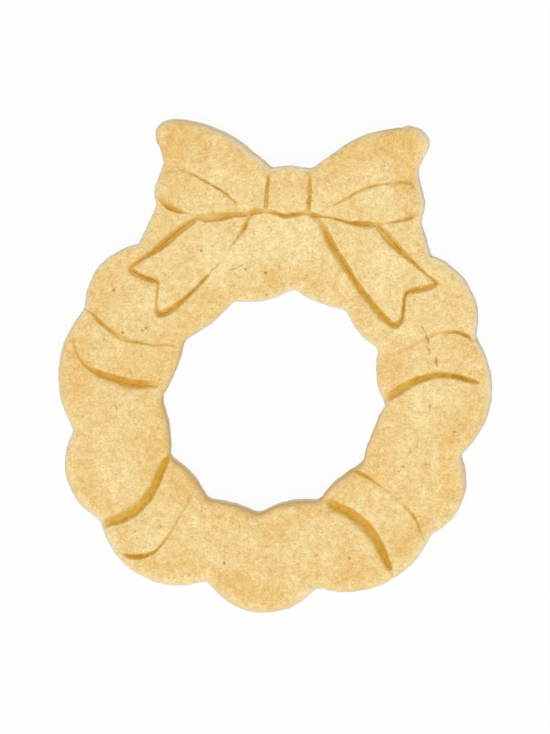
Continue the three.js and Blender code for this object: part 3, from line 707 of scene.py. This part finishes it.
def between(loop, start, end):
    """The stretch of a closed anticlockwise outline from one point of it to another."""
    first, last = place_on(loop, start), place_on(loop, end)
    count = (last - first) % len(loop)
    return loop[(first + np.arange(count + 1)) % len(loop)]


def drawn_to_ends(count):
    """Shares from 0 to 1, closer together at both ends: a straight ramp mixed with half a cosine wave."""
    t = np.linspace(0, 1, count + 1)
    return (1 - EDGE_PULL) * t + EDGE_PULL * (0.5 - 0.5 * np.cos(np.pi * t))


def patch(low, high, left, right, step, by_angle, fade):
    """Points between four border lines that meet at their ends: the blend from low to high, plus how far
    each of the two sides strays from that blend, fading away from the side as a power of the share of the
    way across."""
    u = drawn_to_ends(round((length_of(low) + length_of(high)) / 2 / step))
    v = drawn_to_ends(round((length_of(left) + length_of(right)) / 2 / step))
    low, high = (resample(line[:, :2], u, by_angle)[None] for line in (low, high))
    left, right = (resample(line[:, :2], v)[:, None] for line in (left, right))
    u, v = u[None, :, None], v[:, None, None]
    blend = (1 - v) * low + v * high
    return blend + (1 - u) ** fade * (left - blend[:, :1]) + u**fade * (right - blend[:, -1:])


def grid_quads(index):
    """Faces of a grid of point numbers, each with its next neighbour along both directions."""
    corners = [index[:-1, :-1], index[:-1, 1:], index[1:, 1:], index[1:, :-1]]
    return np.stack(corners, axis=-1).reshape(-1, 4)


def around(index):
    """The border of a grid of point numbers as a loop: along the first row, up the last column, back."""
    return np.concatenate([index[0, :-1], index[:-1, -1], index[-1, :0:-1], index[:0:-1, 0]])


def wall_quads(upper, lower):
    """Faces between two loops of point numbers, the lower below the upper."""
    return np.stack([upper, lower, np.roll(lower, -1), np.roll(upper, -1)], axis=-1)


def in_scene(name, data):
    """A new object in the scene."""
    made = bpy.data.objects.new(name, data)
    bpy.context.scene.collection.objects.link(made)
    return made


def make_piece(name, points, faces, attributes, slot_name, sharp=()):
    """A mesh from points in millimetres about the wreath's centre and lists of faces of one size each,
    riding on the part's body in place of the node of that name. Edges between two sharp points aren't
    shaded round."""
    mesh = bpy.data.meshes.new(name)
    placed = (points + [*WREATH_CENTRE, 0]) * MM
    corners = np.concatenate([f.ravel() for f in faces]).astype(np.int32)
    sizes = np.concatenate([np.full(len(f), f.shape[1]) for f in faces])
    starts = np.concatenate([[0], np.cumsum(sizes)[:-1]]).astype(np.int32)
    mesh.vertices.add(len(placed))
    mesh.vertices.foreach_set("co", placed.astype(np.float32).ravel())
    mesh.loops.add(len(corners))
    mesh.loops.foreach_set("vertex_index", corners)
    mesh.polygons.add(len(sizes))
    mesh.polygons.foreach_set("loop_start", starts)
    mesh.polygons.foreach_set("use_smooth", np.ones(len(sizes), bool))
    mesh.update(calc_edges=True)
    mesh.validate()
    keen = np.zeros(len(placed), bool)
    keen[np.asarray(sharp, int)] = True
    pairs = np.empty(2 * len(mesh.edges), np.int32)
    mesh.edges.foreach_get("vertices", pairs)
    mesh.edges.foreach_set("use_edge_sharp", keen[pairs.reshape(-1, 2)].all(axis=1))
    for key, values in attributes.items():
        mesh.attributes.new(key, "FLOAT", "POINT").data.foreach_set("value", values.astype(np.float32))
    mesh.materials.append(DOUGHS[slot_name])
    piece = in_scene(name + "_baked", mesh)
    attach(piece, "root")
    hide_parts(name)


def walls_below(loop, top):
    """Loops of points down a raised piece's wall, from its border to the sheet, and where that border is
    cut. Crumbs stand out of a cut wall, which leans in under the overhang of the face."""
    cut = edge_distance(*loop.T) < ON_OUTLINE
    normals = outward(loop)
    hang = overhang(loop, normals)
    levels = [top - share * (top - SHEET_TOP) for share in WALL_SHARES]
    levels += [np.full(len(loop), height) for height in (SHEET_TOP + HOLD, SHEET_TOP)]
    loops = []
    for level in levels:
        stand = bumps(*loop.T, level + WALL_LEVEL, CUT_CRUMBS) * np.clip((top - level) / ROUGH_FADE, 0, 1)
        stand = cut * (stand - hang * (FACE - level) / FACE)
        loops.append(np.column_stack([loop + normals * stand[:, None], level]))
    return loops, cut


def raised_piece(name, sides, slot_name, step=FACE_STEP, by_angle=0.0, fade=1.0, recess=None, dish=None):
    """A raised piece of dough: a patch between four sides, lifted to the pressed face, with walls down to
    the sheet and an underside. recess lowers the face where another piece lies in it; dish gives an
    underside that sits in a recess."""
    grid = patch(*sides, step, by_angle, fade)
    step_u = grid[:, 1:] - grid[:, :-1]
    step_v = grid[1:] - grid[:-1]
    turn = step_u[:-1, :, 0] * step_v[:, :-1, 1] - step_u[:-1, :, 1] * step_v[:, :-1, 0]
    if turn.sum() < 0:
        grid = grid[:, ::-1]
    x, y = grid[..., 0].ravel(), grid[..., 1].ravel()
    top, tints = face_of_dough(x, y)
    if recess is not None:
        top = recess(x, y, top)
    index = np.arange(x.size).reshape(grid.shape[:2])
    border = around(index)
    points = [np.stack([x, y, top], axis=1)]
    faces = [grid_quads(index)]
    if dish is not None:
        under = index + index.size
        points.append(np.stack([x, y, dish(x, y, top)], axis=1))
        faces += [grid_quads(under)[:, ::-1], wall_quads(border, around(under))]
        source = np.concatenate([index.ravel(), index.ravel()])
        seams = np.concatenate([border, around(under)])
    else:
        loops, cut = walls_below(points[0][border, :2], top[border])
        lower = index.size + np.arange(len(loops) * len(border)).reshape(len(loops), -1)
        points += loops
        faces += [wall_quads(*pair) for pair in zip([border, *lower], lower)]
        faces.append(lower[-1:, ::-1])
        source = np.concatenate([index.ravel(), np.tile(border, len(loops))])
        seams = border[~cut]
    attributes = {key: values[source] for key, values in tints.items()}
    attributes["cut"][index.size :] = 1
    make_piece(name, np.concatenate(points), faces, attributes, slot_name, seams)


def half_way_round(index, loop, ends):
    """Point numbers of half a loop, anticlockwise between its points straight below and straight above the
    wreath's centre: from below to above for the ends 0, 1 and back again for 1, 0."""
    straight = np.arctan2(np.abs(loop[:, 0]), -loop[:, 1])
    halves = (straight.argmin(), straight.argmax())
    first, last = halves[ends[0]], halves[ends[1]]
    return index[(first + np.arange((last - first) % len(index) + 1)) % len(index)]


def dough_sheet():
    """The sheet: a profile carried round the rim and round the hole, from a rounded foot up the cut edge,
    closed by a flat top and underside, each in two halves that meet below the wreath and behind the
    knot."""
    turn = np.linspace(0, np.pi / 2, FOOT_ROWS)
    foot = FOOT_ROUND * np.stack([1 - np.sin(turn), 1 - np.cos(turn)], axis=1)
    heights = np.append(np.linspace(FOOT_ROUND, SHEET_TOP - HOLD, WALL_ROWS)[1:], SHEET_TOP)
    profile = np.vstack([foot, np.stack([np.zeros(len(heights)), heights], axis=1)])

    def cut_edge(outline, normals, hang, top):
        rows = []
        for inset, height in profile:
            stand = bumps(*outline.T, height + WALL_LEVEL, CUT_CRUMBS)
            stand = stand * min(1.0, height / FOOT_FADE) + hang * height / top - inset
            level = np.full(len(outline), height)
            rows.append(np.column_stack([outline + normals * stand[:, None], level]))
        return np.stack(rows)

    rim, hole = spaced_evenly(RIM_FOOT, RIM_COLUMNS), spaced_evenly(HOLE, HOLE_COLUMNS)
    rim_wall = cut_edge(rim, outward(rim), overhang(rim, outward(rim)), FACE)
    into_hole = -hole / np.hypot(hole[:, 0], hole[:, 1])[:, None]
    drawn_back = UNDERCUT * np.clip(into_hole.sum(axis=1) / math.sqrt(2), 0, 1) ** 2
    hole_wall = cut_edge(hole - into_hole * drawn_back[:, None], into_hole, drawn_back, SHEET_TOP)
    points = np.concatenate([rim_wall.reshape(-1, 3), hole_wall.reshape(-1, 3)])
    outer = np.arange(len(profile) * RIM_COLUMNS).reshape(-1, RIM_COLUMNS)
    inner = outer.size + np.arange(len(profile) * HOLE_COLUMNS).reshape(-1, HOLE_COLUMNS)
    closed = [np.hstack([index, index[:, :1]]) for index in (outer, inner)]
    faces = [grid_quads(closed[0]), grid_quads(closed[1][::-1])]
    for level, facing in ((0, -1), (-1, 1)):
        for ends in ((0, 1), (1, 0)):
            rim_half = half_way_round(outer[level], rim, ends)
            hole_half = half_way_round(inner[level], hole, ends)
            faces.append(np.concatenate([rim_half, hole_half[::-1]])[None, ::facing])
    x, y, z = points.T
    toast_and_painted_light = UNDER_TOAST * np.clip(1 - z / FOOT_FADE, 0, 1)
    # the hole's edge: toasting, with painted shade below and at the left
    toast_and_painted_light += hole_toast_and_shade(x, y) * np.clip(z - HOLE_TOAST_SHADE_FROM, 0, 1)
    bare = np.zeros(len(points))
    tints = {"line_tint_and_shade": bare, "toast_and_painted_light": toast_and_painted_light, "broken": bare, "cut": np.clip(z / CUT_FROM, 0, 1)}
    seams = np.concatenate([outer[0], outer[-1], inner[0], inner[-1]])
    make_piece("dough_sheet", points, faces, tints, "sheet_dough", seams)


def tail_lines(side):
    """A tail's three lines: its outer side, its notched end and its inner side."""
    return [curves[f"{side}_tail_{part}"] for part in ("outer", "end", "inner")]


def inside(loop, x, y):
    """Whether points lie inside a closed run: a ray to the right crosses it an odd number of times."""
    x0, y0, x1, y1 = loop[:-1, 0], loop[:-1, 1], loop[1:, 0], loop[1:, 1]
    spans = (y0 > y[:, None]) != (y1 > y[:, None])
    rise = np.where(y1 == y0, TINY, y1 - y0)
    crossing = x0 + (y[:, None] - y0) * (x1 - x0) / rise
    return ((spans & (x[:, None] < crossing)).sum(axis=1) % 2).astype(bool)


def joined(*runs):
    """Runs that meet end to end as one polyline."""
    return np.vstack([runs[0][:, :2]] + [run[1:, :2] for run in runs[1:]])


def depth_in_tails(x, y):
    """How far inside a tail's border points lie, and nothing for points outside. The border is a closed
    run: down the outer side, across the end, up the inner side and along the bow."""
    depth = np.zeros(x.shape)
    for side in ("left", "right"):
        outer, end, inner = tail_lines(side)
        loop = np.vstack([joined(outer, end, inner[::-1]), outer[:1, :2]])
        near, away, _ = nearest(loop, x, y, LINE_REACH)
        held = inside(loop, x[near], y[near])
        depth[near[held]] = np.abs(away[held])
    return depth


def recess_for_tails(x, y, top):
    """The face lowered under the tails: down a slope from their border to just above the sheet."""
    return np.maximum(top - RECESS_SLOPE * depth_in_tails(x, y), SHEET_TOP + RECESS_FLOOR)


def tail_underside(x, y, top):
    """A tail's underside: down a gentler slope from its border, so that it clears the recess it lies in."""
    lowest = np.maximum(top - DISH_SLOPE * depth_in_tails(x, y), SHEET_TOP + DISH_FLOOR)
    return np.minimum(lowest, top) - HOLD


def ring_piece(name, first, second, slot_name):
    """A stretch of the ring between two lines that cross it, the second further round anticlockwise."""
    first, second = curves[first], curves[second]
    sides = (between(HOLE, first[0], second[0]), between(RIM, first[-1], second[-1]), first, second)
    fade = 1.0 if slot_name == "wrap_dough" else WIDE_FADE
    raised_piece(name, sides, slot_name, by_angle=RING_BY_ANGLE, fade=fade)


def wreath_top():
    """The stretch of wreath behind the tails: from the hole to the rim, the bow's feet and its
    underside."""
    first, second = curves["upper_right_fine"], curves["upper_left_fine"]
    under = [curves[f"underside_{part}"] for part in ("left", "knot", "right")]
    right_web = between(RIM, first[-1], under[-1][-1])
    left_web = between(RIM, under[0][0], second[-1])
    high = joined(right_web, joined(*under)[::-1], left_web)
    sides = (between(HOLE, first[0], second[0]), high, first, second)
    raised_piece(
        "wreath_top", sides, "wreath_dough", TOP_STEP, RING_BY_ANGLE, WIDE_FADE, recess=recess_for_tails
    )


def bow_loops():
    """The bow's two loops: from a side of the knot to the wing's end, between its underside and its top."""
    knot, under = curves["knot_right"], curves["underside_right"]
    side = between(RIM, under[-1], WING_TIPS["right"])
    top = between(RIM, side[-1], knot[-1])
    raised_piece("bow_right_loop", (under, top[::-1], knot, side), "bow_dough")
    knot, under = curves["knot_left"], curves["underside_left"]
    top = between(RIM, knot[-1], WING_TIPS["left"])
    side = between(RIM, top[-1], under[0])
    raised_piece("bow_left_loop", (under, top[::-1], side[::-1], knot), "bow_dough")


def bow_knot():
    """The knot: between its two side lines, from the underside to the outline above."""
    left, right = curves["knot_left"], curves["knot_right"]
    top = between(RIM, right[-1], left[-1])[::-1]
    raised_piece("bow_knot", (curves["underside_knot"], top, left, right), "bow_dough")


def bow_tails():
    """The two tails: from the notched end up to the bow's underside, between the two long sides."""
    for side in ("left", "right"):
        under = curves[f"underside_{side}"]
        outer, end, inner = (line.copy() for line in tail_lines(side))
        start, stop = place_on(under, outer[0]), place_on(under, inner[0])
        run = under[start : stop + 1] if start < stop else under[stop : start + 1][::-1]
        outer[0], inner[0] = run[0], run[-1]
        sides = (end, run, outer[::-1], inner[::-1])
        raised_piece(f"bow_{side}_tail", sides, "bow_dough", dish=tail_underside)


def feed(tree, socket, value):
    """A shader socket set to a value, or linked to another node's output."""
    if isinstance(value, bpy.types.NodeSocket):
        tree.links.new(value, socket)
    else:
        socket.default_value = value


def node(tree, kind, *values, **named):
    """A shader node with its inputs fed, the first ones in their order and others by name."""
    made = tree.nodes.new(kind)
    for socket, value in zip(made.inputs, values):
        feed(tree, socket, value)
    for key, value in named.items():
        feed(tree, made.inputs[key], value)
    return made


def noise(tree, place, size, detail):
    """Cloudy noise whose blotches are about the given size in millimetres."""
    scale = 1 / (size * MM)
    made = node(
        tree, "ShaderNodeTexNoise", Vector=place, Scale=scale, Detail=detail, Roughness=CLOUD_ROUGHNESS
    )
    return made.outputs["Fac"]


def ranged(tree, value, low, high, to_low, to_high):
    """A value carried from one range to another, held at both ends."""
    return node(tree, "ShaderNodeMapRange", value, low, high, to_low, to_high).outputs[0]


def mixed(tree, share, first, second, blend="MIX"):
    """Two colours mixed by a share."""
    made = tree.nodes.new("ShaderNodeMix")
    made.data_type = "RGBA"
    made.blend_type = blend
    for number, value in zip(MIX_INPUTS, (share, first, second)):
        feed(tree, made.inputs[number], value)
    return made.outputs[MIX_OUTPUT]


def math_node(tree, operation, first, second):
    """Two values joined by one sum."""
    made = node(tree, "ShaderNodeMath", first, second)
    made.operation = operation
    return made.outputs[0]


def baked_dough(name, toasting):
    """Baked short dough: pale and olive grains mixed at three sizes, orange where the oven caught it and as
    painted shade at the hole's lower left edge, paler as a painted highlight along the lower rim, beige
    where it was cut and gold in the pressed lines, partly their tint and partly painted shade of the
    grooves, with dark specks, cracks and pores darkened as painted shade, sandy grains whose brightness is
    partly painted shade of the crumbs, and a fine sandy bump."""
    material = bpy.data.materials.new(name)
    material.use_nodes = True
    tree = material.node_tree
    shader = tree.nodes["Principled BSDF"]
    place = tree.nodes.new("ShaderNodeTexCoord").outputs["Object"]

    def attribute(key):
        made = tree.nodes.new("ShaderNodeAttribute")
        made.attribute_name = key
        return made.outputs["Fac"]

    def summed(total, *values):
        for value in values:
            total = math_node(tree, "ADD", total, value)
        return total

    def times(first, second):
        return math_node(tree, "MULTIPLY", first, second)

    def cloud(size, detail, *span):
        return ranged(tree, noise(tree, place, size, detail), *span)

    fine = cloud(*FINE_CLOUD)
    # the toasting attribute, which also carries painted shade at the hole's lower left edge and a painted
    # highlight along the lower rim
    pale = ranged(tree, attribute("toast_and_painted_light"), *PALE_SPAN)
    tone = summed(fine, cloud(*GRAIN_CLOUD), cloud(*BLOTCH_CLOUD), pale, PLAIN_TONE)
    colour = mixed(tree, tone, OLIVE_TAN, PALE_CREAM)
    warm = summed(attribute("toast_and_painted_light"), cloud(*WARM_BLOTCH_CLOUD), cloud(*WARM_GRAIN_CLOUD))
    warm = summed(ranged(tree, warm, *WARM_SPAN), toasting)
    colour = mixed(tree, warm, colour, mixed(tree, tone, OVEN_ORANGE, OVEN_AMBER))
    specks = times(cloud(*SPECK_CLOUD), cloud(*SPECK_CLUSTER_CLOUD))
    colour = mixed(tree, specks, colour, SPECK_BROWN)
    crust = summed(noise(tree, place, *CRUST_CLOUD), times(fine, FINE_IN_CRUST))
    crust = summed(ranged(tree, crust, *CRUST_SPAN), attribute("toast_and_painted_light"))
    cut_share = times(attribute("cut"), CUT_SHARE)
    colour = mixed(tree, cut_share, colour, mixed(tree, crust, CUT_BEIGE, CUT_BROWN))
    # pressed lines: their tint with painted shade of the grooves, deepest at the creases
    line_tint_and_shade = summed(times(attribute("line_tint_and_shade"), cloud(*LINE_CLOUD)), times(fine, FINE_IN_GOLD))
    gold_edge = ranged(tree, attribute("line_tint_and_shade"), *GOLD_EDGE_SPAN)
    gold_share = times(ranged(tree, line_tint_and_shade, *GOLD_SPAN), gold_edge)
    deep_share = ranged(tree, line_tint_and_shade, *DEEP_GOLD_SPAN)
    colour = mixed(tree, gold_share, colour, mixed(tree, deep_share, PRESSED_TAN_AND_SHADE, PRESSED_GOLD_AND_SHADE))
    # painted shade in cracks and pores
    colour = mixed(tree, attribute("broken"), colour, CRACK_SHADE_BROWN)
    # sandy grains scale the brightness: partly their own tone and partly painted shade of the crumbs
    crumbs = node(tree, "ShaderNodeTexVoronoi", Vector=place, Scale=1 / (SAND_SIZE * MM))
    sand_and_shade = summed(ranged(tree, crumbs.outputs["Color"], *SAND_SHADE_SPAN), times(fine, FINE_IN_SAND_SHADE))
    colour = mixed(tree, 1.0, colour, sand_and_shade, "MULTIPLY")
    relief = summed(*(noise(tree, place, size, 1) for size in RELIEF_SIZES))
    height = RELIEF_HEIGHT * MM
    bump = node(tree, "ShaderNodeBump", Height=relief, Strength=RELIEF_STRENGTH, Distance=height)
    tree.links.new(colour, shader.inputs["Base Color"])
    tree.links.new(bump.outputs["Normal"], shader.inputs["Normal"])
    shader.inputs["Roughness"].default_value = DOUGH_ROUGHNESS
    shader.inputs["Specular IOR Level"].default_value = DOUGH_SHEEN
    return material


def seen_directly(tree):
    """1 for the camera's own rays and for those in a reflection or through glass, else 0."""
    path = tree.nodes.new("ShaderNodeLightPath")
    seen = math_node(tree, "MAXIMUM", path.outputs["Is Camera Ray"], path.outputs["Is Glossy Ray"])
    return math_node(tree, "MAXIMUM", seen, path.outputs["Is Transmission Ray"])


def white_floor():
    """A plain white floor just under the biscuit. The camera sees it as a white ground that keeps a faint
    shadow: mostly its own white, with a share of the light that falls on it."""
    mesh = bpy.data.meshes.new("floor")
    half = FLOOR_SIZE / 2
    corners = [(half * x, half * y, FLOOR_LEVEL) for x, y in ((-1, -1), (1, -1), (1, 1), (-1, 1))]
    mesh.from_pydata(corners, [], [(0, 1, 2, 3)])
    material = bpy.data.materials.new("white_floor")
    material.use_nodes = True
    tree = material.node_tree
    tree.nodes.clear()
    lit = node(tree, "ShaderNodeBsdfDiffuse", Color=FLOOR_GREY)
    plain = node(tree, "ShaderNodeEmission", Color=WHITE, Strength=1.0)
    share = math_node(tree, "MULTIPLY", seen_directly(tree), FLOOR_OWN_WHITE)
    both = node(tree, "ShaderNodeMixShader", share, lit.outputs[0], plain.outputs[0])
    node(tree, "ShaderNodeOutputMaterial", Surface=both.outputs[0])
    mesh.materials.append(material)
    floor = in_scene("floor", mesh)


def studio_light():
    """A white sky for the soft light, and one broad lamp high up on the side away from the bow."""
    world = bpy.data.worlds.new("studio")
    bpy.context.scene.world = world
    world.use_nodes = True
    tree = world.node_tree
    sky = tree.nodes["Background"]
    sky.inputs["Color"].default_value = WHITE
    strength = ranged(tree, seen_directly(tree), 0.0, 1.0, SKY_STRENGTH, 1.0)
    tree.links.new(strength, sky.inputs["Strength"])
    lamp = bpy.data.lights.new("broad_lamp", "AREA")
    lamp.shape = "SQUARE"
    lamp.size = LAMP_SIZE
    lamp.energy = LAMP_ENERGY
    holder = in_scene("broad_lamp", lamp)
    holder.location = LAMP_PLACE
    holder.rotation_euler = (-Vector(LAMP_PLACE)).to_track_quat("-Z", "Y").to_euler()


def photo_camera():
    """The camera almost straight above, leaning a little, with the bow towards the top of the picture. Its
    lens makes one millimetre of the face PIXELS_PER_MM wide."""
    data = bpy.data.cameras.new("camera")
    data.sensor_fit = "AUTO"
    data.sensor_width = SENSOR
    field = IMAGE_HEIGHT / PIXELS_PER_MM * MM
    data.lens = SENSOR * VIEW_DISTANCE / field
    data.clip_start = NEAREST_SEEN
    camera = in_scene("camera", data)
    upward = math.cos(LEAN_BACK) * math.cos(LEAN_RIGHT)
    back = Vector((math.sin(LEAN_RIGHT), math.sin(LEAN_BACK), upward)).normalized()
    right = Vector((0, 1, 0)).cross(back).normalized()
    turn = Matrix((right, back.cross(right), back)).transposed()
    camera.matrix_world = Matrix.Translation(Vector(VIEW_AIM) + VIEW_DISTANCE * back) @ turn.to_4x4()
    bpy.context.scene.camera = camera


DOUGHS = {name: baked_dough(name, toasting) for name, toasting in TOASTING.items()}

dough_sheet()
wreath_top()
ring_piece("upper_left_wrap", "upper_left_fine", "upper_left_broad", "wrap_dough")
ring_piece("wreath_left", "upper_left_broad", "lower_left_broad", "wreath_dough")
ring_piece("lower_left_wrap", "lower_left_broad", "lower_left_fine", "wrap_dough")
ring_piece("wreath_bottom", "lower_left_fine", "lower_right_broad", "wreath_dough")
ring_piece("lower_right_wrap", "lower_right_broad", "lower_right_fine", "wrap_dough")
ring_piece("wreath_right", "lower_right_fine", "upper_right_broad", "wreath_dough")
ring_piece("upper_right_wrap", "upper_right_broad", "upper_right_fine", "wrap_dough")
bow_loops()
bow_knot()
bow_tails()

white_floor()
studio_light()
photo_camera()
bpy.context.scene.view_settings.view_transform = "Standard"
